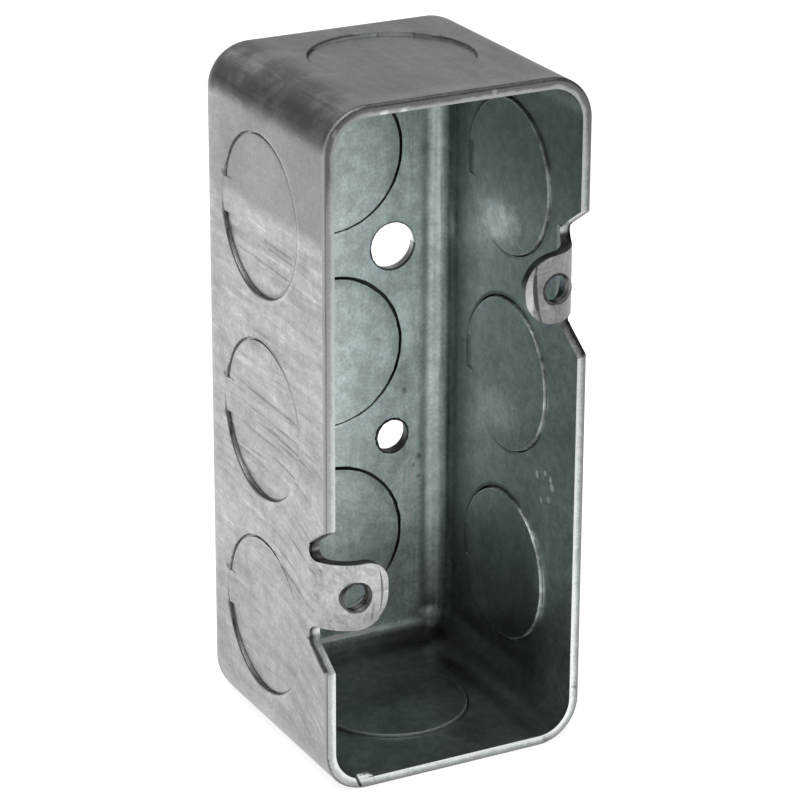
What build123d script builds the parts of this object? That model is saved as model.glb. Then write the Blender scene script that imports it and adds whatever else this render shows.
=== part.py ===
from build123d import *
import os

# Handy box for wiring, drawn from one blank of galvanised steel sheet.
# It stands on its short end: +Z runs up the length, the mouth faces -Y and the back faces +Y.
# The origin lies under the middle of the lower end. Sizes are in millimetres.

# Drawn shell
LENGTH = 95.25
WIDTH = 38.9
DEPTH = 38.3
SHEET = 1.5
CORNER_RADIUS = 6.2
BACK_RADIUS = 5.4
BACK_INNER_RADIUS = 3.3
RIM_ROUND = 0.5

# Knockouts, half-inch trade size: a disc sheared round and pushed in, left on one tie that slopes down to it
KNOCKOUT_RADIUS = 11.1
KNOCKOUT_PITCH = 28.5
KNOCKOUT_SETBACK = 18.8
SLIT_WIDTH = 0.3
SLIT_BIAS = 0.14
DISC_PUSH = 0.45
TIE_WIDTH = 4.8
TIE_LAP = 0.6
TIE_SLOPE = 2.6
END_TIE_TURN = 30

# Fixing holes in the back, each beside the gap between two knockouts
FIXING_OFFSET = 9.65
UPPER_FIXING_RADIUS = 3.4
LOWER_FIXING_RADIUS = 2.4

# Screw ears, one low on the left wall and one high on the right wall; the pair sits a little below the middle
EAR_HEIGHT = 28.2
EAR_PAIR_DROP = 0.35
EAR_WIDTH = 9.4
EAR_REACH = 9.45
EAR_UPPER_TIP_RADIUS = 3.4
EAR_LOWER_TIP_RADIUS = 4.5
EAR_SETBACK = 0.05
EAR_BEND_RADIUS = 6.2
EAR_HOLE_RADIUS = 2.1
EAR_HOLE_FROM_WALL = 4.7
COIN_WIDTH = 1.6
COIN_DEPTH = 0.25

# Relief notches in the rim on either side of each ear, wider at the rim than at the round floor
NOTCH_DEPTH = 5.0
NOTCH_FLOOR = 2.15
NOTCH_MOUTH = 5.5
NOTCH_ROUND = 1.4

# How far cutting solids run past the sheet
OVERRUN = 2.0

# Places that follow from the sizes above
MID_LENGTH = LENGTH / 2
FRONT_Y = -DEPTH / 2
BACK_Y = DEPTH / 2
KNOCKOUT_Y = FRONT_Y + KNOCKOUT_SETBACK
LEFT_X = -WIDTH / 2
EAR_ROOT = EAR_SETBACK + EAR_BEND_RADIUS
EARS_MIDDLE = (0, 0, MID_LENGTH - EAR_PAIR_DROP)


def drawn_block(width, length, depth, corner_radius, back_radius):
    """A block from the mouth backwards, with rounded long corners and a rolled-over back edge."""
    mouth = Plane(origin=(0, FRONT_Y, MID_LENGTH), x_dir=(1, 0, 0), z_dir=(0, -1, 0))
    outline = mouth * RectangleRounded(width, length, corner_radius)
    block = extrude(outline, amount=depth, dir=(0, 1, 0))
    back_edges = block.faces().sort_by(Axis.Y)[-1].edges()
    return fillet(back_edges, back_radius)


def shell():
    """The drawn box: even walls, a little thinner round the back edge, and a rim rounded outside by the trimming."""
    outside = drawn_block(WIDTH, LENGTH, DEPTH, CORNER_RADIUS, BACK_RADIUS)
    rim_edges = outside.faces().sort_by(Axis.Y)[0].edges()
    outside = fillet(rim_edges, RIM_ROUND)
    hollow = drawn_block(
        WIDTH - 2 * SHEET,
        LENGTH - 2 * SHEET,
        DEPTH - SHEET,
        CORNER_RADIUS - SHEET,
        BACK_INNER_RADIUS,
    )
    return outside - hollow


def knockout_planes():
    """Outer faces of the knockouts as planes: z runs into the box, x points at the tie.

    Each comes with how far its disc is pushed in; those of the back stay flush.
    """
    rows = [MID_LENGTH + step * KNOCKOUT_PITCH for step in (-1, 0, 1)]
    places = []
    for z in rows:
        places.append((Plane(origin=(-WIDTH / 2, KNOCKOUT_Y, z), x_dir=(0, 1, 0), z_dir=(1, 0, 0)), DISC_PUSH))
        places.append((Plane(origin=(WIDTH / 2, KNOCKOUT_Y, z), x_dir=(0, 1, 0), z_dir=(-1, 0, 0)), DISC_PUSH))
        places.append((Plane(origin=(0, BACK_Y, z), x_dir=(-1, 0, 0), z_dir=(0, -1, 0)), 0))
    end_tie = Vector(0, 1, 0).rotate(Axis.Z, -END_TIE_TURN)
    places.append((Plane(origin=(0, KNOCKOUT_Y, LENGTH), x_dir=end_tie, z_dir=(0, 0, -1)), DISC_PUSH))
    places.append((Plane(origin=(0, KNOCKOUT_Y, 0), x_dir=end_tie, z_dir=(0, 0, 1)), DISC_PUSH))
    return places


def knockout_hole(plane):
    """The round opening that the knockout's shear line follows."""
    hole = extrude(Circle(KNOCKOUT_RADIUS), amount=SHEET + 2 * OVERRUN)
    return plane * Pos(0, 0, -OVERRUN) * hole


def knockout_disc(plane, push):
    """The sheared disc, a little off centre away from its tie, and the tie that slopes from the wall down to it."""
    disc = Pos(-SLIT_BIAS, 0, push) * extrude(Circle(KNOCKOUT_RADIUS - SLIT_WIDTH), amount=SHEET)
    foot = KNOCKOUT_RADIUS - TIE_SLOPE
    bed = Pos(foot + KNOCKOUT_RADIUS / 2, 0, 0) * Box(KNOCKOUT_RADIUS, TIE_WIDTH, 4 * SHEET)
    side = Plane.XZ * make_face(
        Polyline(
            (KNOCKOUT_RADIUS + TIE_LAP, 0),
            (KNOCKOUT_RADIUS, 0),
            (foot, push),
            (foot, push + SHEET),
            (KNOCKOUT_RADIUS, SHEET),
            (KNOCKOUT_RADIUS + TIE_LAP, SHEET),
            close=True,
        )
    )
    tie = extrude(side, amount=TIE_WIDTH / 2, both=True)
    return plane * (disc - bed + tie)


def fixing_hole(z, radius):
    """A plain punched hole through the back, for a wood screw or a nail."""
    hole = extrude(Circle(radius), amount=SHEET + 2 * OVERRUN)
    plane = Plane(origin=(FIXING_OFFSET, BACK_Y + OVERRUN, z), x_dir=(1, 0, 0), z_dir=(0, -1, 0))
    return plane * hole


def notch():
    """Outline of a relief notch beside the ear: x runs in from the rim, y away from the ear's edge."""
    spread = (NOTCH_MOUTH - NOTCH_FLOOR) / NOTCH_DEPTH
    outline = make_face(
        Polyline(
            (-OVERRUN, 0),
            (NOTCH_DEPTH, 0),
            (NOTCH_DEPTH, NOTCH_FLOOR),
            (-OVERRUN, NOTCH_MOUTH + spread * OVERRUN),
            close=True,
        )
    )
    floor_corners = outline.vertices().sort_by(Axis.X)[-2:]
    return fillet(floor_corners, NOTCH_ROUND)


def notches(thickness):
    """What the press takes out on both sides of the left ear, as solids that run in from the outer face."""
    upper = Pos(0, EAR_WIDTH / 2) * notch()
    wall = Plane(origin=(-OVERRUN, 0, 0), x_dir=(0, 1, 0), z_dir=(1, 0, 0))
    cut = extrude(wall * upper, amount=thickness + OVERRUN)
    return [cut, mirror(cut, about=Plane.XY)]


def ear_clearance():
    """Where the left wall gives way to the ear: the bent zone with the floors of both notches, and the notches."""
    span = Box(SHEET + 2 * OVERRUN, EAR_ROOT + OVERRUN, EAR_WIDTH + 2 * NOTCH_FLOOR)
    span = Pos(SHEET / 2, (EAR_ROOT - OVERRUN) / 2, 0) * span
    return Pos(LEFT_X, FRONT_Y, EAR_HEIGHT) * (span + notches(SHEET + OVERRUN))


def ear():
    """The left ear: the wall's own sheet bent in on a wide sweep, round at the tip, coined there and bored."""
    inner = EAR_BEND_RADIUS - SHEET
    centre = (EAR_BEND_RADIUS, EAR_ROOT)
    outer_arc = CenterArc(centre, EAR_BEND_RADIUS, 180, 90)
    inner_arc = CenterArc(centre, inner, 180, 90)
    section = make_face(
        [
            outer_arc,
            Line(outer_arc @ 1, (EAR_REACH, EAR_SETBACK)),
            Line((EAR_REACH, EAR_SETBACK), (EAR_REACH, EAR_SETBACK + SHEET)),
            Line((EAR_REACH, EAR_SETBACK + SHEET), inner_arc @ 1),
            inner_arc,
            Line(inner_arc @ 0, outer_arc @ 0),
        ]
    )
    tongue = extrude(section, amount=EAR_WIDTH / 2 + NOTCH_FLOOR, both=True) - notches(2 * EAR_REACH)
    tip_corners = tongue.faces().sort_by(Axis.X)[-1].edges().filter_by(Axis.Y).sort_by(Axis.Z)
    tongue = fillet(tip_corners[-1], EAR_UPPER_TIP_RADIUS)
    tip_corners = tongue.faces().filter_by(Axis.X).sort_by(Axis.X)[-1].edges().filter_by(Axis.Y).sort_by(Axis.Z)
    tongue = fillet(tip_corners[0], EAR_LOWER_TIP_RADIUS)
    coin = Pos(EAR_REACH, EAR_SETBACK, 0) * Box(2 * COIN_WIDTH, 2 * COIN_DEPTH, 2 * EAR_WIDTH)
    bore = Pos(EAR_HOLE_FROM_WALL, 0, 0) * Rot(90, 0, 0) * Cylinder(EAR_HOLE_RADIUS, 2 * EAR_ROOT)
    return Pos(LEFT_X, FRONT_Y, EAR_HEIGHT) * (tongue - coin - bore)


def half_turn(shape):
    """The same thing on the opposite wall: a half turn about the middle of the pair of ears."""
    return shape.rotate(Axis(EARS_MIDDLE, (0, 1, 0)), 180)


def handy_box():
    """The finished box."""
    box = shell()
    places = knockout_planes()
    box = box - [knockout_hole(plane) for plane, push in places]
    box = box + [knockout_disc(plane, push) for plane, push in places]
    box = box - fixing_hole(MID_LENGTH + KNOCKOUT_PITCH / 2, UPPER_FIXING_RADIUS)
    box = box - fixing_hole(MID_LENGTH - KNOCKOUT_PITCH / 2, LOWER_FIXING_RADIUS)
    box = box - [ear_clearance(), half_turn(ear_clearance())]
    return box + [ear(), half_turn(ear())]


os.makedirs("parts", exist_ok=True)
export_step(handy_box(), "parts/handy_box.step")
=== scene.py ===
import bpy
import bmesh
import math
from mathutils import Vector, Matrix, noise


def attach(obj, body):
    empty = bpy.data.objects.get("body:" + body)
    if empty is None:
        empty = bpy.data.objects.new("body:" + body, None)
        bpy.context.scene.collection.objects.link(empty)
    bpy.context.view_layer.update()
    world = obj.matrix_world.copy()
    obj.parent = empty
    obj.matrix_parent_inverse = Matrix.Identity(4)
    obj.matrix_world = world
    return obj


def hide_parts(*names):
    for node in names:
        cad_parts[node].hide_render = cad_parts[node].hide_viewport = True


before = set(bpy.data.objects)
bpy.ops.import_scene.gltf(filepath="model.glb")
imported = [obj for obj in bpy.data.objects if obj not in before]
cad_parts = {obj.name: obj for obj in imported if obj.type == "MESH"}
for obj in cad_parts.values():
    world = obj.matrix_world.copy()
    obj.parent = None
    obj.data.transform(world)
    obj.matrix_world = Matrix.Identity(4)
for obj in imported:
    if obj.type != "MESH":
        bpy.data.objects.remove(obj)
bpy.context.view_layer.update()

scene = bpy.context.scene


# Where the box is seen from: a long lens, a little above it and to its left, so that the mouth, the left
# wall and the upper end all show. Places are given in millimetres of the box's own frame.
MM = 0.001
camera_data = bpy.data.cameras.new("camera")
camera_data.sensor_width = 36.0
camera_data.lens = 158.35
camera_data.clip_start = 0.01
camera = bpy.data.objects.new("camera", camera_data)
camera.location = Vector((-205.86, -392.0, 222.0)) * MM
camera.rotation_euler = [math.radians(angle) for angle in (68.411, -0.224, -27.798)]
scene.collection.objects.link(camera)
scene.camera = camera


# The table: a flat white board that runs out of the picture on every side. It glows, so that shadows on it
# are lost, as they are in a picture with a plain white ground.
board = bmesh.new()
bmesh.ops.create_grid(board, x_segments=1, y_segments=1, size=3.0)
table_mesh = bpy.data.meshes.new("table")
board.to_mesh(table_mesh)
board.free()
table_paint = bpy.data.materials.new("table_white")
table_paint.use_nodes = True
table_shader = table_paint.node_tree.nodes["Principled BSDF"]
table_shader.inputs["Base Color"].default_value = (0.55, 0.55, 0.55, 1.0)
table_shader.inputs["Roughness"].default_value = 0.9
table_shader.inputs["Emission Color"].default_value = (1.0, 1.0, 1.0, 1.0)
table_shader.inputs["Emission Strength"].default_value = 0.8
table_mesh.materials.append(table_paint)
table = bpy.data.objects.new("table", table_mesh)
scene.collection.objects.link(table)


# The light: a wide soft box overhead that whitens the table, a second one low behind on the right that the
# upper end mirrors, and a dim room around them, which leaves the rounded left edge and the inside dark.
world = bpy.data.worlds.new("room")
world.use_nodes = True
world.node_tree.nodes["Background"].inputs["Color"].default_value = (0.96, 1.0, 1.0, 1.0)
world.node_tree.nodes["Background"].inputs["Strength"].default_value = 0.2
scene.world = world
scene.view_settings.view_transform = "Standard"


def soft_box(name, place, aim, size, watts):
    """A square soft light that faces the point aim."""
    lamp = bpy.data.lights.new(name, "AREA")
    lamp.shape = "SQUARE"
    lamp.size = size
    lamp.energy = watts
    holder = bpy.data.objects.new(name, lamp)
    holder.location = place
    holder.rotation_euler = (Vector(aim) - Vector(place)).to_track_quat("-Z", "Y").to_euler()
    scene.collection.objects.link(holder)


soft_box("overhead_light", place=(-0.35, -0.35, 1.5), aim=(0.0, 0.05, 0.0), size=1.2, watts=22.0)
soft_box("rear_light", place=(0.75, 1.3, 0.62), aim=(0.0, 0.0, 0.09), size=0.9, watts=1.3)


# The box: one sheet of zinc-coated steel, drawn to a deep cup in a press. The ears are bent in from its long
# walls and the knockouts are sheared round and pressed back, so all of it is one piece. The solid's faces are
# sorted by the way they look: out of the sheet, into the box or across the sheet.
HALF_LENGTH = 47.625
FRONT = -19.15
INNER_BACK = 17.65
LEFT_EAR_HOLE = (-14.75, 28.2)
RIGHT_EAR_HOLE = (14.75, 66.35)
EAR_HOLE_EDGE = 2.3
OUTSIDE, INSIDE, CUT, ROLLED, SHEARED = range(5)


def in_ear(x, z):
    """Whether a spot's height is that of the bent-in ear of its own wall."""
    return (x < 0 and 23.3 < z < 33.1) or (x > 0 and 61.4 < z < 71.3)


def across_sheet(spot):
    """The way out through the sheet at a spot of the box."""
    x, y, z = spot
    core = Vector((max(-13.0, min(13.0, x)), min(y, 12.0), max(7.0, min(88.0, z))))
    if in_ear(x, z):
        core = Vector((max(-13.25, min(13.25, x)), max(-12.9, min(y, 12.0)), z))
    return (Vector(spot) - core).normalized()


def surface_of(face):
    """Which of the box's five kinds of surface a face belongs to."""
    spot = face.calc_center_median() / MM
    turn = face.normal.dot(across_sheet(spot))
    if not in_ear(spot.x, spot.z):
        if spot.y < FRONT + 0.03 and face.normal.y < -0.9:
            return CUT
        if spot.y < FRONT + 0.55 and face.normal.y < -0.05 and turn > 0.0:
            return ROLLED
    if turn > 0.5:
        return OUTSIDE
    if turn < -0.5:
        return INSIDE
    hole_x, hole_z = RIGHT_EAR_HOLE if spot.x > 0 else LEFT_EAR_HOLE
    from_hole = math.hypot(spot.x - hole_x, spot.z - hole_z)
    if spot.y < -12.0 and abs(spot.x) > 9.9 and from_hole > EAR_HOLE_EDGE:
        return CUT
    return SHEARED


# Knockouts: where the middle of each lies in the sheet, which way it looks and where its tie is.
KNOCKOUT_PITCH = 28.5
KNOCKOUT_ROWS = [HALF_LENGTH + step * KNOCKOUT_PITCH for step in (-1, 0, 1)]
KNOCKOUT_Y = -0.35
END_TIE = Vector((math.sin(math.radians(30)), math.cos(math.radians(30)), 0))
knockouts = []
for row in KNOCKOUT_ROWS:
    knockouts.append((Vector((-18.7, KNOCKOUT_Y, row)), Vector((-1, 0, 0)), Vector((0, 1, 0))))
    knockouts.append((Vector((18.7, KNOCKOUT_Y, row)), Vector((1, 0, 0)), Vector((0, 1, 0))))
    knockouts.append((Vector((0, 18.4, row)), Vector((0, 1, 0)), Vector((-1, 0, 0))))
knockouts.append((Vector((0, KNOCKOUT_Y, 94.5)), Vector((0, 0, 1)), END_TIE))
knockouts.append((Vector((0, KNOCKOUT_Y, 0.75)), Vector((0, 0, -1)), END_TIE))

steel = bmesh.new()
steel.from_mesh(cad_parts["handy_box"].data)
bmesh.ops.remove_doubles(steel, verts=steel.verts, dist=1e-6)
# The punch leaves the fixing holes wider where it comes out at the back, and the lower side of the right
# ear's tip is rounder than in the solid. The discs of the long walls hang a little askew on their ties,
# lower side deeper; those of the back sit low in their holes, and the crack round them is uneven.
FIXING_X = 9.65
FIXING_HOLES = ((61.875, 3.4), (33.375, 2.4))
TIP_MIDDLE_X = 14.6
TIP_MIDDLE_Z = 66.25
TIP_RADIUS = 4.62
DISC_MIDDLE_Y = KNOCKOUT_Y - 0.14
for corner in steel.verts:
    x, y, z = corner.co / MM
    for hole_z, radius in FIXING_HOLES:
        if y > 19.0 and math.hypot(x - FIXING_X, z - hole_z) < radius + 0.05:
            flare = 1.0 + (0.17 + 0.13 * (z - hole_z) / radius) / radius
            corner.co.x = (FIXING_X + (x - FIXING_X) * flare) * MM
            corner.co.z = (hole_z + (z - hole_z) * flare) * MM
    if 9.99 < x < 14.5 and y < -17.0 and 61.6 < z < 66.2:
        tip = TIP_MIDDLE_X - math.sqrt(max(0.0, TIP_RADIUS ** 2 - (TIP_MIDDLE_Z - z) ** 2))
        corner.co.x = max(x, tip) * MM
    for row in KNOCKOUT_ROWS:
        if abs(x) > 17.3 and math.hypot(y - DISC_MIDDLE_Y, z - row) < 10.9:
            if x > 0:
                corner.co.x += (0.008 * (z - row) - 0.03) * MM
            else:
                corner.co.x -= (0.02 * (z - row) + (0.16 if row < 20 else 0.11)) * MM
        if y > 17.6 and math.hypot(x, z - row) < 11.2:
            reach = math.hypot(x, z - row)
            if reach < 10.98:
                sag = 0.4 * max(0.0, (row - z) / 10.8 - 0.5) if row < 20 else 0.0
                corner.co += Vector((-0.20, 0, -0.05 - sag)) * MM
            if y < 17.7 and reach > 10.4 and x > -9.5:
                uneven = 0.11 * noise.noise(Vector((x * 0.9, z * 0.9, 3.0 * reach)))
                corner.co += Vector((x, 0, z - row)) * (uneven / reach) * MM
for face in steel.faces:
    face.normal_update()
for face in steel.faces:
    face.smooth = True
    face.material_index = surface_of(face)
bmesh.ops.dissolve_limit(
    steel,
    angle_limit=math.radians(0.1),
    verts=steel.verts,
    edges=steel.edges,
    delimit={"MATERIAL"},
)


def shear_lines(side, ways, nearest, farthest, bearing=Vector()):
    """The edges where one side of the sheet breaks over into a sheared wall, between two distances from
    the middle of a knockout that looks one of these ways and clear of its tie, on the bearing's side if any.
    """

    def on_line(spot):
        for middle, way, tie in knockouts:
            off = spot - middle
            flat = off - way * off.dot(way)
            if way in ways and abs(off.dot(way)) < 1.6 and nearest < flat.length < farthest:
                return flat.angle(tie) > math.radians(24) and flat.dot(bearing) > -0.5
        return False

    found = []
    for edge in steel.edges:
        kinds = {face.material_index for face in edge.link_faces}
        if kinds == {side, SHEARED} and edge.calc_face_angle(0.0) > math.radians(50):
            if all(on_line(corner.co / MM) for corner in edge.verts):
                found.append(edge)
    return found


def break_over(lines, width, surface):
    """Rounds sheared edges the way the punch drags them over, and gives the round one of the surfaces."""
    rounded = bmesh.ops.bevel(
        steel,
        geom=lines,
        offset=width * MM,
        offset_type="OFFSET",
        segments=2,
        profile=0.5,
        affect="EDGES",
        material=-1,
        clamp_overlap=False,
        loop_slide=False,
    )
    for face in rounded["faces"]:
        face.material_index = surface
        face.smooth = True


# The punch drags the sheet over at the outside of each hole and rounds the inner edge of the disc. The back
# is only cracked and pressed flat again; there both sides of the line are worn open along its upper right.
BACKWARD = Vector((0, 1, 0))
WALLWARD = [way for middle, way, tie in knockouts if way != BACKWARD]
UPPER_RIGHT = Vector((0.75, 0, 0.65))
hole_edges = shear_lines(OUTSIDE, WALLWARD, nearest=10.98, farthest=11.3)
break_over(hole_edges, width=0.28, surface=OUTSIDE)
disc_edges = shear_lines(INSIDE, WALLWARD, nearest=10.3, farthest=10.98)
break_over(disc_edges, width=0.18, surface=SHEARED)
worn_edges = shear_lines(INSIDE, [BACKWARD], nearest=10.3, farthest=11.4, bearing=UPPER_RIGHT)
break_over(worn_edges, width=0.06, surface=SHEARED)

# The ears: the tap breaks the mouth of each hole and leaves it dark, and the coined step runs out as a curved
# slope.
tapped = []
for edge in steel.edges:
    ends = [corner.co / MM for corner in edge.verts]
    kinds = {face.material_index for face in edge.link_faces}
    if kinds == {OUTSIDE, SHEARED} and all(spot.y < -19.0 and 10.5 < abs(spot.x) < 17.0 for spot in ends):
        tapped.append(edge)
break_over(tapped, width=0.16, surface=SHEARED)
STEP_HALF = 3.91
steps = []
for edge in steel.edges:
    ends = [corner.co / MM for corner in edge.verts]
    if all(11.2 < abs(spot.x) < 12.7 and spot.y < -18.7 for spot in ends) and abs(ends[0].z - ends[1].z) > 5:
        steps.append(edge)
coined = bmesh.ops.subdivide_edges(steel, edges=steps, cuts=12)
for corner in coined["geom_inner"]:
    if isinstance(corner, bmesh.types.BMVert):
        x, y, z = corner.co / MM
        step_middle = 28.47 if x < 0 else 66.08
        bow = 1.0 - ((z - step_middle) / STEP_HALF) ** 2
        upper_lip = y < -19.0
        if x < 0:
            corner.co.x += bow * (0.4 if upper_lip else 0.85) * MM
        else:
            corner.co.x -= bow * (0.3 if upper_lip else 0.85) * MM
for face in steel.faces:
    face.normal_update()
    middle = face.calc_center_median() / MM
    if face.normal.y < -0.15 and 10.0 < abs(middle.x) < 12.7 and -19.05 < middle.y < -18.86:
        face.material_index = ROLLED
bmesh.ops.triangulate(steel, faces=[face for face in steel.faces if len(face.verts) > 4])
bmesh.ops.dissolve_degenerate(steel, dist=1e-6, edges=steel.edges)
steel_mesh = bpy.data.meshes.new("drawn_box")
steel.to_mesh(steel_mesh)
steel.free()
for left_over in ("custom_normal", "sharp_face", "sharp_edge"):
    if left_over in steel_mesh.attributes:
        steel_mesh.attributes.remove(steel_mesh.attributes[left_over])


def settle_normals(mesh):
    """A flat face keeps its normal, a bend takes it over where it meets the flat, and bends are smooth."""
    around = [[] for corner in mesh.vertices]
    for face in mesh.polygons:
        for corner in face.vertices:
            around[corner].append(face)
    flat = [max(abs(part) for part in face.normal) > 0.9998 for face in mesh.polygons]
    normals = [Vector((0, 0, 1))] * len(mesh.loops)
    for face in mesh.polygons:
        for at in face.loop_indices:
            fan = around[mesh.loops[at].vertex_index]
            near = [other for other in fan if other.normal.dot(face.normal) > 0.8]
            level = [other for other in near if flat[other.index] and other.normal.dot(face.normal) > 0.987]
            if flat[face.index]:
                normals[at] = face.normal.copy()
            elif level:
                normals[at] = level[0].normal.copy()
            else:
                normals[at] = sum((other.normal * other.area for other in near), Vector()).normalized()
    mesh.normals_split_custom_set(normals)


settle_normals(steel_mesh)


def put(tree, kind, feeds, **settings):
    """Adds a shader node; each feed is a fixed value or the socket that drives an input."""
    made = tree.nodes.new("ShaderNode" + kind)
    for name, value in settings.items():
        setattr(made, name, value)
    for name, value in feeds.items():
        if isinstance(value, bpy.types.NodeSocket):
            tree.links.new(value, made.inputs[name])
        else:
            made.inputs[name].default_value = value
    return made


def reckon(tree, what, *values):
    """The result of a Math node."""
    return put(tree, "Math", dict(enumerate(values)), operation=what).outputs[0]


def reckon_vector(tree, what, *values):
    """The result of a Vector Math node: a length or product as a number, anything else as a vector."""
    made = put(tree, "VectorMath", dict(enumerate(values)), operation=what)
    return made.outputs["Value" if what in ("LENGTH", "DISTANCE", "DOT_PRODUCT") else "Vector"]


def times(tree, first, *others):
    """The product of values or masks."""
    for other in others:
        first = reckon(tree, "MULTIPLY", first, other)
    return first


def scaled(tree, value, factor, base):
    """A value times a factor, plus a base."""
    return reckon(tree, "MULTIPLY_ADD", value, factor, base)


def off_by(tree, value, middle):
    """How far a value lies from a middle, either way."""
    return reckon(tree, "ABSOLUTE", reckon(tree, "SUBTRACT", value, middle))


def mixed(tree, mask, without, within):
    """One value where the mask is empty and another where it is full."""
    return put(tree, "Mix", {"Factor": mask, "A": without, "B": within}).outputs["Result"]


def joined(tree, first, second, third=0.0):
    """A vector of three values."""
    return put(tree, "CombineXYZ", {"X": first, "Y": second, "Z": third}).outputs["Vector"]


def split(tree, vector):
    """The three values of a vector, as X, Y and Z."""
    return put(tree, "SeparateXYZ", {"Vector": vector}).outputs


def fade(tree, value, start, end):
    """0 at start, 1 at end, and a soft change between."""
    spread = {"Value": value, "From Min": start, "From Max": end}
    return put(tree, "MapRange", spread, interpolation_type="SMOOTHSTEP").outputs["Result"]


def tone_by(tree, tone, mask, share):
    """The tone, lighter or darker by a share where the mask is full."""
    return times(tree, tone, scaled(tree, mask, share, 1.0))


def effect(name, inputs, outputs):
    """An empty shader node group with named sockets; gives the group, its inputs and its outputs."""
    tree = bpy.data.node_groups.new(name, "ShaderNodeTree")
    for socket, kind in inputs.items():
        tree.interface.new_socket(socket, in_out="INPUT", socket_type="NodeSocket" + kind)
    for socket in outputs:
        tree.interface.new_socket(socket, in_out="OUTPUT", socket_type="NodeSocketFloat")
    return tree, tree.nodes.new("NodeGroupInput").outputs, tree.nodes.new("NodeGroupOutput").inputs


def use(tree, group, feeds):
    """Places a node group in a material and gives its outputs."""
    return put(tree, "Group", feeds, node_tree=group).outputs


# Clouding and grain of the zinc coat: soft patches some millimetres wide, smaller blots and a fine tooth.
zinc_coat, given, wanted = effect("zinc_coat", {"Place": "Vector"}, ("Clouds", "Blots", "Grain"))
for name, size, detail in (("Clouds", 0.13, 3.0), ("Blots", 0.55, 3.0), ("Grain", 2.2, 2.0)):
    feeds = {"Vector": given["Place"], "Scale": size, "Detail": detail, "Roughness": 0.6}
    speckle = put(zinc_coat, "TexNoise", feeds).outputs["Fac"]
    zinc_coat.links.new(fade(zinc_coat, speckle, 0.3, 0.7), wanted[name])

# Draw marks: the die drags streaks into the coat along the depth of the box. Flow's x runs along them, y
# across. Smears are broad and soft, scores are few and dark, scuffs are few and bright.
draw_marks, given, wanted = effect("draw_marks", {"Flow": "Vector"}, ("Smears", "Scores", "Scuffs"))
for name, stretch, low, high in (
    ("Smears", (0.08, 0.6, 1.0), 0.3, 0.7),
    ("Scores", (0.06, 1.5, 1.0), 0.52, 0.70),
    ("Scuffs", (0.13, 1.0, 1.0), 0.55, 0.72),
):
    dragged = reckon_vector(draw_marks, "MULTIPLY", given["Flow"], stretch)
    dragged = reckon_vector(draw_marks, "ADD", dragged, (0.0, 3.7 * high, 9.1 * low))
    feeds = {"Vector": dragged, "Scale": 1.0, "Detail": 3.0, "Roughness": 0.6, "Distortion": 0.25}
    streak = put(draw_marks, "TexNoise", feeds).outputs["Fac"]
    draw_marks.links.new(fade(draw_marks, streak, low, high), wanted[name])

# Rub mark: a soft-edged patch of a given reach round a centre, with a ragged outline.
patch_inputs = {"Place": "Vector", "Centre": "Vector", "Reach": "Vector"}
rub_mark, given, wanted = effect("rub_mark", patch_inputs, ("Mask",))
off = reckon_vector(rub_mark, "SUBTRACT", given["Place"], given["Centre"])
off = reckon_vector(rub_mark, "DIVIDE", off, given["Reach"])
ragged = put(rub_mark, "TexNoise", {"Vector": given["Place"], "Scale": 0.9, "Detail": 3.0}).outputs["Fac"]
ragged = scaled(rub_mark, ragged, 0.9, -0.45)
worn = reckon(rub_mark, "ADD", reckon_vector(rub_mark, "LENGTH", off), ragged)
rub_mark.links.new(fade(rub_mark, worn, 1.0, 0.35), wanted["Mask"])

# Scratch: a thin line between two spots, fading out over its width.
line_inputs = {"Place": "Vector", "From": "Vector", "To": "Vector", "Width": "Float"}
scratch, given, wanted = effect("scratch", line_inputs, ("Mask",))
reach = reckon_vector(scratch, "SUBTRACT", given["To"], given["From"])
from_start = reckon_vector(scratch, "SUBTRACT", given["Place"], given["From"])
passed = reckon_vector(scratch, "DOT_PRODUCT", from_start, reach)
share = reckon(scratch, "DIVIDE", passed, reckon_vector(scratch, "DOT_PRODUCT", reach, reach))
share = put(scratch, "Clamp", {"Value": share}).outputs["Result"]
nearest = put(scratch, "VectorMath", {"Vector": reach, "Scale": share}, operation="SCALE").outputs["Vector"]
gap = reckon(scratch, "DIVIDE", reckon_vector(scratch, "DISTANCE", from_start, nearest), given["Width"])
scratch.links.new(fade(scratch, gap, 1.0, 0.2), wanted["Mask"])


def rub(tree, place, centre, reach):
    """The mask of one rub mark."""
    return use(tree, rub_mark, {"Place": place, "Centre": centre, "Reach": reach})["Mask"]


def rubbed(tree, tone, place, marks):
    """The tone after rub marks, each given as centre, reach and share."""
    for centre, reach, share in marks:
        tone = tone_by(tree, tone, rub(tree, place, centre, reach), share)
    return tone


def scratched(tree, tone, place, marks):
    """The tone after scratches, each given as two ends, width and share."""
    for start, end, width, share in marks:
        line = use(tree, scratch, {"Place": place, "From": start, "To": end, "Width": width})["Mask"]
        tone = tone_by(tree, tone, line, share)
    return tone


def metal(name):
    """A bare metal; gives the material, its node tree, its shader and the place in millimetres."""
    made = bpy.data.materials.new(name)
    made.use_nodes = True
    tree = made.node_tree
    shader = tree.nodes["Principled BSDF"]
    shader.inputs["Metallic"].default_value = 1.0
    spot = put(tree, "TexCoord", {}).outputs["Object"]
    place = put(tree, "VectorMath", {"Vector": spot, "Scale": 1.0 / MM}, operation="SCALE").outputs["Vector"]
    return made, tree, shader, place


def facing(tree):
    """The way the surface faces, as X, Y and Z."""
    return split(tree, put(tree, "TexCoord", {}).outputs["Normal"])


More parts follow.
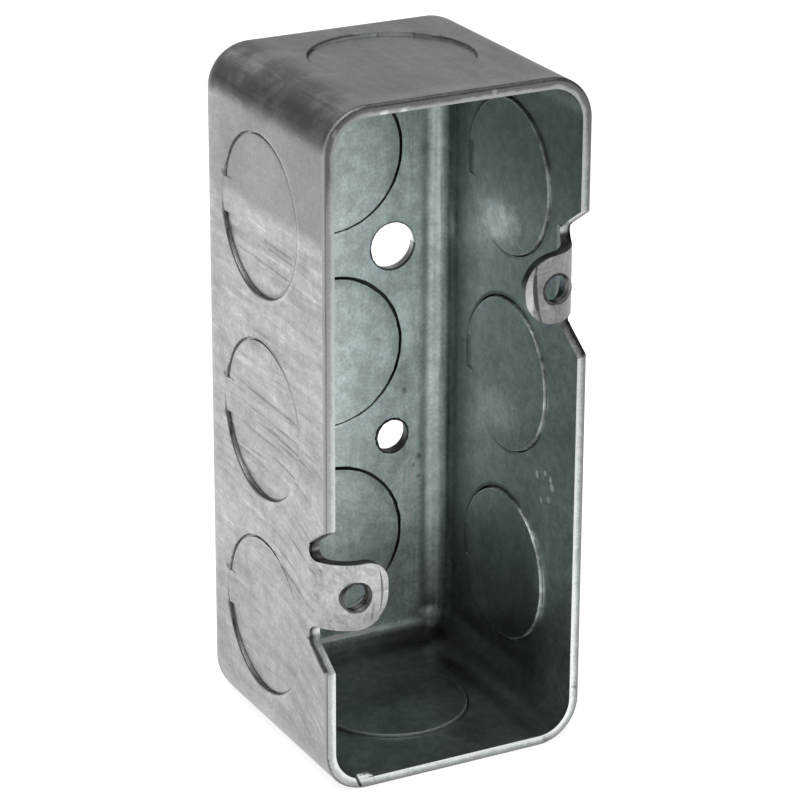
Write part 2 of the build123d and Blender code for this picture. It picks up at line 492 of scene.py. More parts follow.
def finish_metal(tree, shader, tint, tone, roughness, height, depth):
    """Joins a tone, a roughness and a height to the shader of a metal."""
    colour = put(tree, "VectorMath", {"Vector": tint, "Scale": tone}, operation="SCALE").outputs["Vector"]
    tree.links.new(colour, shader.inputs["Base Color"])
    tree.links.new(roughness, shader.inputs["Roughness"])
    bump = put(tree, "Bump", {"Height": height, "Strength": 0.6, "Distance": depth * MM})
    tree.links.new(bump.outputs["Normal"], shader.inputs["Normal"])


def centred(tree, mask):
    """A mask turned into a swing round nothing."""
    return reckon(tree, "SUBTRACT", mask, 0.5)


def height_in_row(tree, z):
    """The height above the middle of the nearest row of knockouts; the rows are alike."""
    low = KNOCKOUT_ROWS[0]
    half = KNOCKOUT_PITCH / 2
    return reckon(tree, "SUBTRACT", reckon(tree, "WRAP", z, low + half, low - half), low)


# Outside of the sheet: drawn zinc, streaked along the depth, rubbed bright on the long walls and left
# smoother and greyer towards the upper end, with a painted reflection edge high on the left wall and painted
# shade at the foot.
outside_zinc, tree, shader, place = metal("outside_zinc")
x, y, z = split(tree, place)
face_x, face_y, face_z = facing(tree)
ends = fade(tree, reckon(tree, "ABSOLUTE", face_z), 0.45, 0.85)
pulled = reckon(tree, "MAXIMUM", reckon(tree, "SUBTRACT", -2.0, y), 0.0)
sag = times(tree, reckon(tree, "POWER", pulled, 2.0), fade(tree, z, 50.0, 36.0), 0.02)
across = mixed(tree, ends, reckon(tree, "ADD", z, sag), x)
around = mixed(tree, ends, reckon(tree, "ABSOLUTE", x), 0.0)
along = reckon(tree, "ADD", y, around)
flow = joined(tree, along, across, times(tree, face_x, 7.0))
marks = use(tree, draw_marks, {"Flow": flow})
coat = use(tree, zinc_coat, {"Place": place})

# The coat: grey and smooth above an uneven line near the upper end, streaked and scuffed below it; on the
# left wall the darker grey above the line is a painted reflection edge.
upper = fade(tree, scaled(tree, coat["Clouds"], 1.6, z), 76.9, 79.0)
elsewhere = fade(tree, scaled(tree, coat["Clouds"], 9.0, z), 71.0, 95.0)
upper = mixed(tree, fade(tree, x, -14.0, -10.0), upper, elsewhere)
upper = tone_by(tree, upper, times(tree, fade(tree, y, 8.0, 14.0), fade(tree, z, 93.0, 88.0)), -0.45)
drawn = scaled(tree, upper, -0.75, 1.0)
tone = scaled(tree, upper, -0.118, 0.402)
tone = tone_by(tree, tone, times(tree, drawn, centred(tree, marks["Smears"])), 0.34)
streaky = rub(tree, place, (-19.0, -9.0, 33.0), (30.0, 11.0, 10.0))
around_middle = rub(tree, place, (-19.0, -3.0, 47.0), (30.0, 16.0, 15.0))
streaky = reckon(tree, "ADD", reckon(tree, "MAXIMUM", streaky, around_middle), 0.25)
tone = tone_by(tree, tone, times(tree, streaky, drawn, marks["Scores"]), -0.44)
tone = tone_by(tree, tone, times(tree, drawn, marks["Scuffs"]), 0.30)
tone = tone_by(tree, tone, times(tree, drawn, centred(tree, coat["Blots"])), 0.20)
tone = tone_by(tree, tone, centred(tree, coat["Clouds"]), 0.18)
tone = tone_by(tree, tone, centred(tree, coat["Grain"]), 0.14)
# Painted shade: darker towards the foot of the box, by the table.
tone = tone_by(tree, tone, fade(tree, z, 40.0, 8.0), -0.16)
tone = tone_by(tree, tone, fade(tree, z, 14.0, 2.0), -0.10)

# Round the knockouts: a painted highlight on the dragged-over sheet on the side of the mouth, and painted
# shade along the edge of the hole and of the disc in places.
row_height = height_in_row(tree, z)
off_middle = joined(tree, reckon(tree, "SUBTRACT", y, KNOCKOUT_Y), row_height)
from_middle = reckon_vector(tree, "LENGTH", off_middle)
on_wall = times(tree, fade(tree, reckon(tree, "ABSOLUTE", face_x), 0.3, 0.6), fade(tree, z, 90.0, 88.5))
mouth_side = fade(tree, y, 3.0, -4.0)
# Painted highlight: a light ring round the mouth side of each hole.
ring = times(tree, fade(tree, from_middle, 12.0, 11.4), fade(tree, from_middle, 11.0, 11.15))
ring = times(tree, ring, on_wall, mouth_side)
upper_row = fade(tree, z, 58.0, 66.0)
tone = tone_by(tree, tone, times(tree, ring, scaled(tree, upper_row, 0.18, 0.10)), 1.0)
# Painted shade: a dark line along the hole's edge.
edge_shade = times(tree, fade(tree, from_middle, 11.85, 11.6), fade(tree, from_middle, 11.15, 11.35))
edge_shade = times(tree, edge_shade, mouth_side, on_wall)
edge_shade = times(tree, edge_shade, fade(tree, row_height, -1.0, 5.0), fade(tree, z, 30.0, 38.0))
tone = tone_by(tree, tone, times(tree, edge_shade, reckon(tree, "SUBTRACT", 1.0, upper_row)), -0.45)
# Painted shade on the lower rear round of the left wall's holes.
low_rear = times(tree, fade(tree, from_middle, 11.6, 11.35), fade(tree, from_middle, 11.0, 11.1))
low_rear = times(tree, low_rear, fade(tree, y, -3.0, 3.0), fade(tree, x, -18.6, -18.9))
tone = tone_by(tree, tone, times(tree, low_rear, fade(tree, row_height, 2.0, -4.0)), -0.78)
# Painted shade along the edge of the disc.
disc_edge = times(tree, fade(tree, from_middle, 10.95, 10.8), fade(tree, from_middle, 10.3, 10.6))
disc_edge = times(tree, disc_edge, mouth_side, on_wall)
tone = tone_by(tree, tone, times(tree, disc_edge, upper_row), -0.30)

# Scratches on the left wall, the upper end and the left ear, painted shade along the edges of the notches
# beside the left ear, and the dark nicks on both sides of each tie.
flat_place = reckon_vector(tree, "MULTIPLY", place, (0.2, 1.0, 1.0))
tone = scratched(tree, tone, flat_place, (
    ((-3.8, -1.2, 72.9), (-3.8, -9.1, 72.8), 0.34, -0.36),
    ((-3.8, -2.6, 72.2), (-3.8, -9.4, 72.0), 0.28, -0.30),
    ((-3.8, 6.5, 69.8), (-3.8, -7.9, 69.5), 0.30, -0.28),
    ((-3.8, 3.5, 74.6), (-3.8, -4.0, 74.2), 0.30, 0.20),
    ((-3.8, 1.0, 71.2), (-3.8, -8.2, 71.0), 0.35, 0.22),
    # Painted shade: dark lines along the edges of the notches beside the left ear.
    ((-3.89, -14.3, 21.5), (-3.89, -14.9, 20.8), 0.45, -0.65),
    ((-3.89, -14.9, 20.8), (-3.89, -18.7, 18.3), 0.50, -0.65),
    ((-3.89, -14.9, 35.6), (-3.89, -18.7, 38.1), 0.30, -0.50),
))
tone = scratched(tree, tone, place, (
    ((2.7, 9.2, 95.0), (6.9, 6.8, 95.0), 0.32, -0.45),
    ((2.7, 9.2, 95.0), (3.2, 10.2, 95.1), 0.35, -0.55),
    ((-12.3, -19.1, 26.9), (-12.4, -19.1, 26.0), 0.22, -0.40),
    ((-12.5, -19.1, 25.6), (-12.7, -19.1, 24.7), 0.30, -0.30),
    ((-13.2, -19.1, 32.6), (-11.3, -19.1, 31.7), 0.45, 0.16),
    ((-11.3, -19.1, 31.7), (-10.35, -19.1, 29.6), 0.40, 0.14),
))
tone = rubbed(tree, tone, flat_place, (
    ((-3.8, 10.4, 79.0), (1.0, 0.9, 0.7), -0.55),
    ((-3.8, 10.4, 73.2), (1.0, 0.9, 0.7), -0.55),
    ((-3.8, 10.6, 50.4), (1.0, 0.9, 0.7), -0.55),
    ((-3.8, 10.6, 44.8), (1.0, 0.9, 0.7), -0.55),
    ((-3.8, 10.6, 21.9), (1.0, 0.9, 0.7), -0.55),
    ((-3.8, 10.6, 16.2), (1.0, 0.9, 0.7), -0.45),
))

# Ears: the right one is darkened by painted shade, with a bright coined tip; the left one is paler above than
# below.
# Painted shade over the right ear.
right_ear = times(tree, fade(tree, x, 5.0, 9.0), fade(tree, face_y, 0.1, -0.3))
tone = tone_by(tree, tone, right_ear, -0.50)
tone = tone_by(tree, tone, times(tree, right_ear, fade(tree, z, 67.5, 69.0)), 0.22)
coined_tip = times(tree, fade(tree, x, 11.5, 11.0), fade(tree, z, 69.5, 66.0))
tone = tone_by(tree, tone, times(tree, right_ear, coined_tip), 1.25)
left_ear = times(tree, fade(tree, x, -5.0, -9.0), fade(tree, face_y, -0.4, -0.9))
tone = tone_by(tree, tone, times(tree, left_ear, fade(tree, z, 26.0, 29.0)), 0.14)
tone = tone_by(tree, tone, times(tree, left_ear, fade(tree, z, 27.5, 24.5)), -0.12)

# The upper left bend: patchy, with a painted highlight where it turns on to the end and painted shade below
# that.
corner_bend = times(tree, fade(tree, x, -10.5, -14.5), fade(tree, z, 87.5, 91.5))
tone = tone_by(tree, tone, times(tree, corner_bend, fade(tree, coat["Clouds"], 0.75, 0.35)), -0.24)
tone = tone_by(tree, tone, times(tree, corner_bend, fade(tree, marks["Scuffs"], 0.3, 0.9)), 0.22)
# Painted highlight where the bend turns on to the end.
over_bend = times(tree, fade(tree, x, -9.5, -13.0), fade(tree, face_z, 0.58, 0.82))
over_bend = times(tree, over_bend, fade(tree, face_z, 0.99, 0.92))
to_rear = fade(tree, y, 0.0, 7.0)
tone = tone_by(tree, tone, over_bend, scaled(tree, to_rear, 0.35, 0.50))
rear_bend = times(tree, fade(tree, x, -13.0, -14.0), fade(tree, face_z, 0.30, 0.55))
rear_bend = times(tree, rear_bend, fade(tree, face_z, 0.95, 0.82))
tone = tone_by(tree, tone, times(tree, rear_bend, to_rear), 0.35)
# Painted shade below the bend.
under_bend = times(tree, fade(tree, x, -16.5, -18.0), fade(tree, z, 92.6, 91.2))
under_bend = times(tree, under_bend, fade(tree, z, 89.2, 90.6))
tone = tone_by(tree, tone, under_bend, scaled(tree, to_rear, -0.20, -0.25))
front_band = times(tree, fade(tree, y, -15.0, -17.5), fade(tree, z, 93.5, 95.0))
tone = tone_by(tree, tone, front_band, 0.18)
roughness = scaled(tree, marks["Smears"], 0.10, 0.37)
height = reckon(tree, "ADD", times(tree, marks["Scores"], drawn, -1.0), times(tree, coat["Grain"], 0.4))
finish_metal(tree, shader, (0.968, 1.0, 0.988), tone, roughness, height, depth=0.012)

# Inside of the sheet: the same zinc, less rubbed and a little blue. Painted light makes the flat of the back
# brightest;
# the bends, stretched over the punch, are left darker.
inside_zinc, tree, shader, place = metal("inside_zinc")
x, y, z = split(tree, place)
face_x, face_y, face_z = facing(tree)
flat_back = fade(tree, face_y, -0.72, -0.98)
coat = use(tree, zinc_coat, {"Place": place})
upright = use(tree, draw_marks, {"Flow": joined(tree, z, reckon(tree, "SUBTRACT", x, y))})
# Painted light: the flat of the back is given a lighter tone.
tone = scaled(tree, flat_back, 0.335, 0.345)

# The upright bend on the right: painted shade, with a painted highlight stripe where it turns; scored beside
# it, and lighter on the back beside it.
bend = times(tree, fade(tree, x, 13.6, 14.9), fade(tree, face_y, -0.25, -0.6))
tone = tone_by(tree, tone, bend, -0.25)
turned = times(tree, fade(tree, face_y, -0.40, -0.58), fade(tree, face_y, -0.90, -0.76))
turned = times(tree, turned, fade(tree, x, 14.2, 14.9))
tone = tone_by(tree, tone, turned, scaled(tree, fade(tree, z, 9.0, 24.0), 1.4, 0.5))
tone = tone_by(tree, tone, times(tree, bend, fade(tree, face_y, -0.76, -0.88)), -0.25)
tone = tone_by(tree, tone, times(tree, fade(tree, y, 13.0, 16.0), centred(tree, upright["Smears"])), 0.14)
by_bend = times(tree, fade(tree, y, 12.0, 15.0), fade(tree, x, 9.5, 13.0))
tone = tone_by(tree, tone, times(tree, by_bend, upright["Scores"]), -0.22)
tone = tone_by(tree, tone, times(tree, by_bend, flat_back), 0.13)

# The flats: painted shade makes the back darker at both ends and the right wall darker at its top and its
# foot; the right wall is also darker at its ties, and painted light makes it pale low by the mouth.
right_wall = fade(tree, face_x, -0.5, -0.9)
tone = tone_by(tree, tone, times(tree, flat_back, fade(tree, z, 38.0, 22.0)), -0.12)
tone = tone_by(tree, tone, times(tree, flat_back, fade(tree, z, 84.0, 92.0)), -0.14)
tone = tone_by(tree, tone, times(tree, right_wall, fade(tree, z, 66.0, 84.0)), -0.50)
tone = tone_by(tree, tone, times(tree, right_wall, fade(tree, z, 34.0, 10.0)), -0.34)
by_tie = times(tree, fade(tree, y, 6.5, 9.5), fade(tree, y, 13.5, 12.0))
tone = tone_by(tree, tone, times(tree, right_wall, by_tie), -0.20)
low_front = times(tree, fade(tree, z, 45.0, 20.0), fade(tree, y, -7.0, -15.0))
tone = tone_by(tree, tone, times(tree, right_wall, low_front), 1.2)

# The floor and the bends at its edge: painted shade, lightened towards the mouth by painted light, with a
# painted highlight line where the back starts to bend.
level = fade(tree, face_z, 0.5, 0.95)
tone = tone_by(tree, tone, times(tree, fade(tree, z, 9.0, 2.5), reckon(tree, "SUBTRACT", 1.0, level)), -0.20)
tone = tone_by(tree, tone, level, -0.22)
tone = tone_by(tree, tone, times(tree, level, fade(tree, y, -6.0, 2.0)), -0.38)
tone = tone_by(tree, tone, times(tree, level, fade(tree, y, 2.0, -16.0)), 0.30)
by_corner = times(tree, fade(tree, x, 11.5, 15.0), fade(tree, x, 17.6, 16.0))
tone = tone_by(tree, tone, times(tree, by_corner, fade(tree, z, 8.5, 4.5)), -0.50)
floor_bend = times(tree, fade(tree, z, 3.35, 2.6), fade(tree, y, 11.0, 14.5))
floor_bend = times(tree, floor_bend, fade(tree, x, 18.0, 16.0))
floor_bend = times(tree, floor_bend, scaled(tree, fade(tree, x, 2.0, 9.0), 0.75, 0.25))
tone = tone_by(tree, tone, floor_bend, -0.64)
rear_foot = times(tree, fade(tree, y, 15.5, 16.8), fade(tree, x, 15.8, 14.2))
foot_strip = times(tree, fade(tree, z, 9.5, 6.0), fade(tree, z, 3.2, 3.6))
tone = tone_by(tree, tone, times(tree, foot_strip, rear_foot), 0.40)
crease_highlight = times(tree, fade(tree, z, 4.3, 3.95), fade(tree, z, 3.2, 3.6))
crease_highlight = times(tree, crease_highlight, scaled(tree, fade(tree, x, 10.0, 3.0), 2.0, 1.0))
tone = tone_by(tree, tone, times(tree, crease_highlight, rear_foot), 0.32)
halfway = fade(tree, times(tree, face_x, face_z), -0.18, -0.46)
tone = tone_by(tree, tone, halfway, -0.42)

# Round the knockouts: a dark line behind those of the right wall; in the back a painted shadow darkens the
# discs along the upper right of the crack, and a painted highlight brightens the sheet along its lower left.
row_height = height_in_row(tree, z)
off_middle = joined(tree, reckon(tree, "SUBTRACT", y, KNOCKOUT_Y), row_height)
from_middle = reckon_vector(tree, "LENGTH", off_middle)
rear_line = times(tree, fade(tree, from_middle, 11.7, 11.35), fade(tree, from_middle, 10.9, 11.1))
rear_line = times(tree, rear_line, right_wall, fade(tree, y, -6.0, 1.0))
tone = tone_by(tree, tone, rear_line, -0.60)
off_middle = joined(tree, x, row_height)
from_middle = reckon_vector(tree, "LENGTH", off_middle)
upper_right = reckon_vector(tree, "DOT_PRODUCT", off_middle, (0.75, 0.65, 0.0))
disc_shadow = times(tree, fade(tree, from_middle, 9.0, 10.8), fade(tree, from_middle, 11.05, 10.95))
disc_shadow = times(tree, disc_shadow, flat_back, fade(tree, upper_right, 0.0, 8.0))
tone = tone_by(tree, tone, disc_shadow, -0.26)
lip_highlight = times(tree, fade(tree, from_middle, 11.7, 11.3), fade(tree, from_middle, 11.0, 11.15))
lip_highlight = times(tree, lip_highlight, flat_back, fade(tree, upper_right, -3.0, -8.0))
tone = tone_by(tree, tone, lip_highlight, 0.25)

# Rubbed and spotted places: pale and dull rubs, painted reflections on the right wall of the light that comes
# in through the fixing holes, a painted highlight in the lower right corner, a few dark spots on the back,
# and a cluster of bright dents on the right wall.
tone = rubbed(tree, tone, place, (
    # Painted reflection on the right wall of the light through a fixing hole.
    ((18.0, 1.0, 69.5), (30.0, 7.0, 4.2), 0.58),
    ((18.0, 0.5, 70.0), (30.0, 1.6, 2.6), 0.22),
    ((12.0, 17.6, 54.0), (3.4, 3.0, 11.0), 0.16),
    ((18.0, 9.0, 20.0), (30.0, 9.0, 16.0), -0.16),
    ((18.0, 1.0, 20.0), (30.0, 9.0, 9.0), -0.12),
    ((18.0, -10.0, 26.0), (30.0, 4.0, 14.0), 0.12),
    ((11.9, 17.6, 10.6), (3.5, 3.0, 5.0), 0.22),
    # Painted reflection on the right wall of the light through a fixing hole.
    ((18.0, 0.5, 42.0), (30.0, 7.0, 4.0), 0.25),
    # Painted highlight in the lower right corner of the back.
    ((15.5, 16.9, 5.0), (1.8, 3.2, 1.2), 1.8),
    ((14.0, 17.6, 29.5), (0.5, 3.0, 0.6), -0.50),
    ((13.1, 17.6, 28.2), (0.4, 3.0, 0.5), -0.45),
    ((14.0, 17.6, 26.4), (0.5, 3.0, 0.5), -0.45),
    ((11.5, 17.6, 40.0), (0.6, 3.0, 0.6), -0.40),
    ((3.2, 17.6, 9.5), (6.0, 3.0, 6.0), 0.50),
    ((12.0, 17.6, 11.0), (5.0, 3.0, 12.0), -0.14),
    ((12.0, 17.6, 21.5), (5.0, 3.0, 10.0), 0.38),
    ((17.9, -9.1, 35.9), (3.0, 0.60, 0.75), 2.2),
    ((17.9, -11.3, 36.8), (3.0, 0.50, 0.55), 1.6),
    ((17.9, -12.8, 36.3), (3.0, 0.60, 0.60), 1.8),
    ((17.9, -13.2, 35.4), (3.0, 0.75, 0.80), 2.6),
    ((17.9, -12.3, 33.2), (3.0, 0.60, 0.60), 1.8),
    ((17.9, -10.4, 32.5), (3.0, 0.45, 0.55), 1.4),
))
tone = tone_by(tree, tone, centred(tree, coat["Clouds"]), 0.22)
tone = tone_by(tree, tone, centred(tree, coat["Blots"]), 0.28)
tone = tone_by(tree, tone, centred(tree, coat["Grain"]), 0.16)
roughness = scaled(tree, coat["Clouds"], 0.08, 0.33)
roughness = scaled(tree, turned, 0.18, roughness)
low_back = times(tree, rear_foot, fade(tree, z, 18.0, 8.0))
roughness = scaled(tree, low_back, 0.30, roughness)
finish_metal(tree, shader, (0.89, 1.0, 1.0), tone, roughness, coat["Blots"], depth=0.012)

# Cut edge: the trimmed rim and the sides of the ears. The rim is burnished along its inner half, with a
# painted highlight there that is brightest at the lower end, and darker towards the outer corner; the sides
# of the ears that look up are darkened by painted shade.
cut_edge, tree, shader, place = metal("cut_edge")
x, y, z = split(tree, place)
face_z = facing(tree)["Z"]
past_x = reckon(tree, "SUBTRACT", reckon(tree, "ABSOLUTE", x), 13.25)
past_z = reckon(tree, "SUBTRACT", off_by(tree, z, HALF_LENGTH), 41.425)
bent = joined(tree, reckon(tree, "MAXIMUM", past_x, 0.0), reckon(tree, "MAXIMUM", past_z, 0.0))
inward = reckon(tree, "SUBTRACT", 6.2, reckon_vector(tree, "LENGTH", bent))
coat = use(tree, zinc_coat, {"Place": place})
inward = reckon(tree, "ADD", inward, times(tree, centred(tree, coat["Blots"]), 0.22))
tone = scaled(tree, fade(tree, z, 95.0, 5.0), 0.17, 0.245)
left_rim = fade(tree, x, -14.0, -17.5)
tone = tone_by(tree, tone, left_rim, 0.08)
tone = tone_by(tree, tone, times(tree, fade(tree, x, 14.0, 17.5), fade(tree, z, 91.0, 78.0)), 0.22)
burnish_and_highlight = fade(tree, inward, 0.75, 1.25)
tone = tone_by(tree, tone, burnish_and_highlight, scaled(tree, fade(tree, z, 30.0, 4.0), 0.15, 0.45))
at_top = fade(tree, z, 84.0, 91.0)
outer_darkening = fade(tree, reckon(tree, "SUBTRACT", inward, times(tree, at_top, 0.3)), 0.95, 0.45)
inner_cut = fade(tree, y, -19.0, -18.6)
low_left = times(tree, left_rim, fade(tree, z, 87.0, 80.0))
outer_darkening = times(tree, outer_darkening, scaled(tree, low_left, -0.7, 1.0))
tone = tone_by(tree, tone, times(tree, fade(tree, x, -12.5, -15.5), fade(tree, z, 80.0, 87.0)), -0.28)
tone = tone_by(tree, tone, outer_darkening, -0.45)
tone = tone_by(tree, tone, times(tree, inner_cut, fade(tree, inward, 0.62, 0.42)), -0.75)
tone = scratched(tree, tone, place, (
    ((-15.0, -19.15, 2.2), (-14.0, -19.15, -0.1), 0.32, -0.93),
    ((-12.9, -19.15, 2.4), (-12.2, -19.15, 1.0), 0.22, -0.3),
    ((14.1, -19.15, 1.1), (14.6, -19.15, 0.4), 0.45, -0.35),
    ((18.4, -19.15, 7.9), (18.9, -19.15, 7.7), 0.35, -0.40),
))
tone = rubbed(tree, tone, place, (
    ((-13.4, -19.15, 1.0), (0.9, 2.0, 1.4), -0.10),
    ((-18.7, -14.7, 34.6), (1.8, 1.0, 1.2), -0.6),
    # Painted glints on burrs of the upper rim.
    ((-10.9, -19.15, 94.0), (0.9, 2.0, 0.5), 0.8),
    ((-8.2, -19.15, 93.8), (0.7, 2.0, 0.6), 0.8),
    ((-18.0, -19.15, 92.3), (0.6, 2.0, 0.9), 0.9),
    ((4.8, -19.15, 94.6), (0.6, 2.0, 0.5), 1.0),
))
tone = tone_by(tree, tone, centred(tree, coat["Grain"]), 0.18)
ear_height = scaled(tree, reckon(tree, "GREATER_THAN", x, 0.0), -38.15, z)
# Painted shade on the sides of the ears that look up.
ear_top = times(tree, inner_cut, fade(tree, face_z, 0.0, 0.5))
tone = tone_by(tree, tone, times(tree, ear_top, fade(tree, ear_height, 24.0, 28.0)), -0.70)
tone = tone_by(tree, tone, times(tree, ear_top, fade(tree, ear_height, 24.0, 23.0)), -0.18)
roughness = scaled(tree, coat["Grain"], 0.15, 0.32)
finish_metal(tree, shader, (0.955, 1.0, 1.0), tone, roughness, coat["Grain"], depth=0.008)

# Rolled edge: the outer corner of the rim, dragged round by the trimming and dark, and the slopes of the
# coined steps;
# painted shade darkens the slope on the right ear.
rolled_edge, tree, shader, place = metal("rolled_edge")
spot = split(tree, place)
coat = use(tree, zinc_coat, {"Place": place})
tone = tone_by(tree, scaled(tree, coat["Clouds"], 0.05, 0.14), centred(tree, coat["Grain"]), 0.3)
tone = scaled(tree, fade(tree, facing(tree)["X"], -0.45, -0.80), 0.20, tone)
# Painted shade on the coined slope of the right ear.
right_step = times(tree, fade(tree, spot["X"], 9.0, 9.5), fade(tree, spot["X"], 13.0, 12.7))
right_step = times(tree, right_step, fade(tree, off_by(tree, spot["Z"], 66.0), 4.5, 4.0))
tone = tone_by(tree, tone, right_step, -0.60)
roughness = scaled(tree, coat["Grain"], 0.15, 0.42)
finish_metal(tree, shader, (0.97, 1.0, 1.0), tone, roughness, coat["Grain"], depth=0.02)

# Sheared wall: the dark torn grey of a punched or sheared hole. The edge of a disc that stands proud on the
# inside is clean and bright. Painted light lightens the deep grooves in places.
sheared_edge, tree, shader, place = metal("sheared_edge")
x, y, z = split(tree, place)
coat = use(tree, zinc_coat, {"Place": place})
from_end = reckon(tree, "SUBTRACT", off_by(tree, z, HALF_LENGTH), 46.125)
from_side = reckon(tree, "SUBTRACT", reckon(tree, "ABSOLUTE", x), 17.95)
from_inside = reckon(tree, "MAXIMUM", from_end, from_side)
in_back = fade(tree, y, 14.0, 16.5)
proud = times(tree, fade(tree, from_inside, 0.30, 0.10), reckon(tree, "SUBTRACT", 1.0, in_back))
proud = times(tree, proud, fade(tree, y, -16.0, -13.0), fade(tree, z, 0.4, 7.0))
mouthward = fade(tree, from_inside, 1.05, 1.35)
tone = scaled(tree, coat["Grain"], 0.06, 0.05)
row_height = height_in_row(tree, z)
# Painted light on the lower left of the cracks in the back.
lower_left = reckon(tree, "ADD", times(tree, x, 0.75), times(tree, row_height, 0.65))
tone = scaled(tree, times(tree, in_back, fade(tree, lower_left, -2.0, -8.0)), 0.22, tone)
# Painted light on the upper side of the wall knockouts' grooves, near the outer face.
upper_side = times(tree, mouthward, fade(tree, row_height, -3.0, 3.0))
tone = scaled(tree, times(tree, upper_side, coat["Blots"]), 0.40, tone)
# Painted light in the grooves at the upper end.
at_top = times(tree, fade(tree, z, 90.0, 93.0), fade(tree, from_inside, 0.55, 0.95))
top_lit_share = reckon(tree, "MAXIMUM", fade(tree, y, 7.0, 9.0), times(tree, fade(tree, x, 2.0, 8.0), 0.55))
at_top = times(tree, at_top, scaled(tree, top_lit_share, 0.7, 0.3))
tone = scaled(tree, at_top, 0.55, tone)
bored = times(tree, fade(tree, reckon(tree, "ABSOLUTE", row_height), 10.2, 10.9), fade(tree, x, 4.5, 5.5))
bored = times(tree, bored, fade(tree, z, 48.0, 52.0), fade(tree, y, 17.75, 18.1))
tone = scaled(tree, bored, 0.42, tone)
tone = scaled(tree, proud, scaled(tree, coat["Blots"], 0.45, 0.35), tone)
# Painted light in the grooves beside the right wall's ties.
by_tie = times(tree, fade(tree, x, 16.5, 17.5), fade(tree, y, 7.0, 8.5))
tone = scaled(tree, times(tree, by_tie, fade(tree, y, 16.0, 14.0)), 0.22, tone)
floor_lip = times(tree, fade(tree, z, 3.4, 2.6), fade(tree, z, 1.0, 1.5))
tone = scaled(tree, floor_lip, 0.36, tone)
lower_fixing = (FIXING_X, FIXING_HOLES[1][0], 0.0)
from_fixing = reckon_vector(tree, "DISTANCE", joined(tree, x, z), lower_fixing)
# Painted light on the lower side of the cracks in the back.
low_side = times(tree, in_back, fade(tree, row_height, -4.0, -8.5), fade(tree, from_fixing, 3.2, 4.2))
tone = scaled(tree, low_side, 0.45, tone)
# Painted light in the grooves of the left wall.
left_line = times(tree, fade(tree, x, -17.9, -18.3), fade(tree, y, -13.0, -11.5))
paler = scaled(tree, fade(tree, row_height, -3.0, 3.0), 0.14, 0.20)
tone = scaled(tree, left_line, paler, tone)
tone = scaled(tree, times(tree, in_back, fade(tree, z, 13.0, 10.5)), 0.22, tone)
roughness = scaled(tree, coat["Grain"], 0.2, 0.42)
finish_metal(tree, shader, (0.95, 1.0, 1.0), tone, roughness, coat["Grain"], depth=0.03)

for finish in (outside_zinc, inside_zinc, cut_edge, rolled_edge, sheared_edge):
    steel_mesh.materials.append(finish)
drawn_box = bpy.data.objects.new("drawn_box", steel_mesh)
scene.collection.objects.link(drawn_box)
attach(drawn_box, "root")
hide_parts("handy_box")


# Shear lines of the knockouts: the punch cracks the sheet all round each disc without parting it, so behind
# the groove a thin torn web still closes the line. One ring for each disc, set at the middle of the sheet.
webs = bmesh.new()
WEB_INNER = 10.55
WEB_OUTER = 11.2
WEB_HALF = 0.12
WEB_OUTLINE = ((WEB_INNER, -WEB_HALF), (WEB_OUTER, -WEB_HALF), (WEB_OUTER, WEB_HALF), (WEB_INNER, WEB_HALF))


def outline(shape, corners):
    """A closed line through these corners, ready to be spun."""
    made = [shape.verts.new(corner) for corner in corners]
    return made + [shape.edges.new((made[i - 1], made[i])) for i in range(len(made))]


def dressed(name, shape, finish):
    """A piece made of a finished shape, in one metal."""
    mesh = bpy.data.meshes.new(name)
    shape.to_mesh(mesh)
    shape.free()
    mesh.materials.append(finish)
    piece = bpy.data.objects.new(name, mesh)
    scene.collection.objects.link(piece)
    return piece


for middle, way, tie in knockouts:
    before = set(webs.verts)
    bmesh.ops.spin(
        webs,
        geom=outline(webs, [(reach, 0, rise) for reach, rise in WEB_OUTLINE]),
        cent=(0, 0, 0),
        axis=(0, 0, 1),
        angle=2 * math.pi,
        steps=64,
        use_merge=True,
    )
    turn = Vector((0, 0, 1)).rotation_difference(way).to_matrix().to_4x4()
    ring = [corner for corner in webs.verts if corner not in before]
    bmesh.ops.transform(webs, matrix=Matrix.Scale(MM, 4) @ Matrix.Translation(middle) @ turn, verts=ring)
bmesh.ops.recalc_face_normals(webs, faces=webs.faces)
torn_webs = dressed("torn_webs", webs, sheared_edge)
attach(torn_webs, "root")


# Threads of the cover screws: each ear is tapped number 8-32, so a ridge winds through the bore. The tap
# leaves it bare and a little brown, and it ends flush with both sides of the ear.
threads = bmesh.new()
PITCH = 0.794
TURN_STEPS = 28
THREAD_TURNS = 4
THREAD_START = -20.2
THREAD_OUTLINE = ((2.14, -0.385), (1.86, -0.08), (1.86, 0.08), (2.14, 0.385))
for hole_x, hole_z in (LEFT_EAR_HOLE, RIGHT_EAR_HOLE):
    ridge = [Vector((hole_x + reach, THREAD_START + rise, hole_z)) * MM for reach, rise in THREAD_OUTLINE]
    bmesh.ops.spin(
        threads,
        geom=outline(threads, ridge),
        cent=Vector((hole_x, 0, hole_z)) * MM,
        axis=(0, 1, 0),
        dvec=Vector((0, PITCH / TURN_STEPS * MM, 0)),
        angle=THREAD_TURNS * 2 * math.pi,
        steps=THREAD_TURNS * TURN_STEPS,
    )
for cut_y, side in ((-19.08, -1), (-17.62, 1)):
    bmesh.ops.bisect_plane(
        threads,
        geom=threads.verts[:] + threads.edges[:] + threads.faces[:],
        plane_co=(0, cut_y * MM, 0),
        plane_no=(0, side, 0),
        clear_outer=True,
    )
bmesh.ops.holes_fill(threads, edges=[edge for edge in threads.edges if edge.is_boundary])
bmesh.ops.recalc_face_normals(threads, faces=threads.faces)
tapped_steel, tree, shader, place = metal("tapped_steel")
coat = use(tree, zinc_coat, {"Place": place})
x = split(tree, place)["X"]
tone = scaled(tree, coat["Grain"], 0.06, 0.03)
tone = scaled(tree, fade(tree, x, 16.0, 16.7), 0.22, tone)
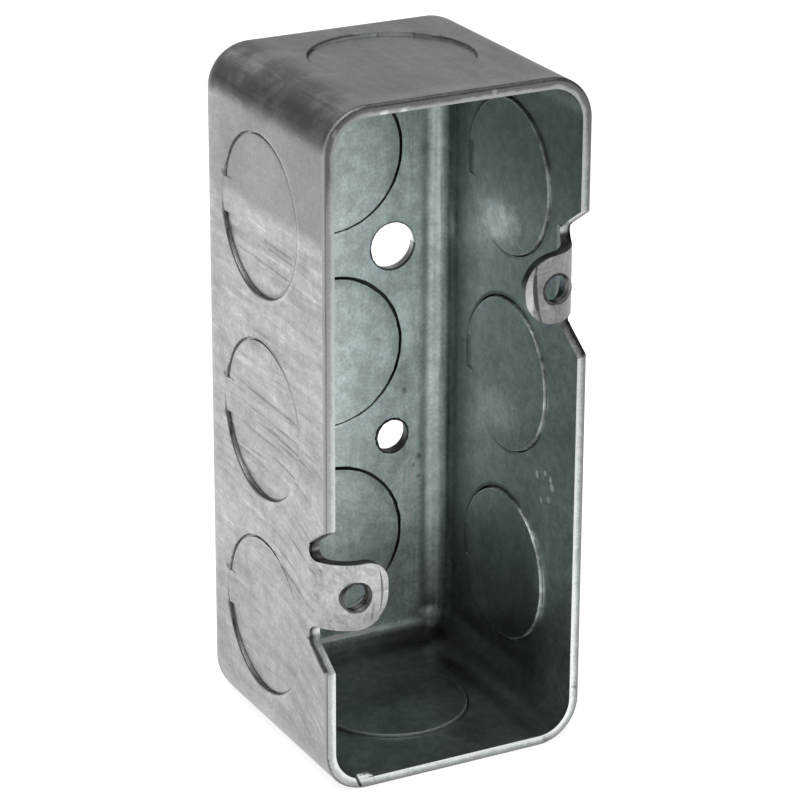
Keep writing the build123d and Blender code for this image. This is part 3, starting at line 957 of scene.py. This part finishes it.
tone = scaled(tree, fade(tree, x, 0.0, -1.0), 0.04, tone)
roughness = scaled(tree, coat["Grain"], 0.2, 0.34)
finish_metal(tree, shader, (1.0, 0.99, 0.965), tone, roughness, coat["Grain"], depth=0.02)
screw_threads = dressed("screw_threads", threads, tapped_steel)
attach(screw_threads, "root")


# Burrs of the fixing holes: the punch tears a low lip of the sheet up round each hole inside the back. It is
# dark with dirt. Each is a spun ring, made ragged by noise.
burrs = bmesh.new()
BURR_LIFTS = (0.12, 0.24)
BURR_SPREADS = (0.20, 0.32)
for (hole_z, radius), lift, spread in zip(FIXING_HOLES, BURR_LIFTS, BURR_SPREADS):
    before = set(burrs.verts)
    lip = ((-0.04, 0.2), (0.0, -0.6 * lift), (0.4 * spread, -lift), (spread, 0.02))
    bmesh.ops.spin(
        burrs,
        geom=outline(burrs, [(radius + reach, INNER_BACK + rise, 0) for reach, rise in lip]),
        cent=(0, 0, 0),
        axis=(0, 1, 0),
        angle=2 * math.pi,
        steps=72,
        use_merge=True,
    )
    for corner in burrs.verts:
        if corner not in before:
            x, y, z = corner.co
            ragged = noise.noise(Vector((x * 2.6, z * 2.6, hole_z)))
            torn = noise.noise(Vector((x * 0.7 + 9.0, z * 0.7, hole_z)))
            low_side = max(0.0, -0.6 * z - 0.8 * x) / radius
            grown = 1.0 + (0.35 * spread * ragged / radius if y < INNER_BACK + 0.03 else 0.0)
            rise = y - INNER_BACK
            if rise < 0.0:
                rise *= 1.0 + 0.8 * torn + low_side
            corner.co = Vector((FIXING_X + x * grown, INNER_BACK + rise, hole_z + z * grown)) * MM
bmesh.ops.recalc_face_normals(burrs, faces=burrs.faces)
for face in burrs.faces:
    face.smooth = True
fixing_burrs = dressed("fixing_burrs", burrs, sheared_edge)
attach(fixing_burrs, "root")


# Trim burr: where the two halves of the trimming die met, near the left end of the lower rim, the cut pushed
# a small ledge of the box's own steel in over the edge. It is a rounded block that dips to the right.
burr = bmesh.new()
LEDGE_SIZE = (2.7, 0.7, 1.1)
LEDGE_X, LEDGE_Y, LEDGE_Z = (-13.5, -18.78, 1.70)
bmesh.ops.create_cube(burr, size=1.0, matrix=Matrix.Diagonal((*LEDGE_SIZE, 1.0)))
bmesh.ops.bevel(
    burr,
    geom=burr.edges[:],
    offset=0.26,
    offset_type="OFFSET",
    segments=3,
    profile=0.5,
    affect="EDGES",
    material=-1,
)
bmesh.ops.triangulate(burr, faces=burr.faces[:])
bmesh.ops.subdivide_edges(burr, edges=burr.edges[:], cuts=2, use_grid_fill=True)
for corner in burr.verts:
    x, y, z = corner.co
    dip = 0.34 * max(0.0, x) ** 2 + 0.05 * noise.noise(Vector((2.0 * x, 2.0 * y, 5.0)))
    corner.co = Vector((LEDGE_X + x, LEDGE_Y + y, LEDGE_Z + z - (dip if z > 0 else 0.0))) * MM
bmesh.ops.recalc_face_normals(burr, faces=burr.faces)
for face in burr.faces:
    face.smooth = True
trim_burr = dressed("trim_burr", burr, cut_edge)
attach(trim_burr, "root")
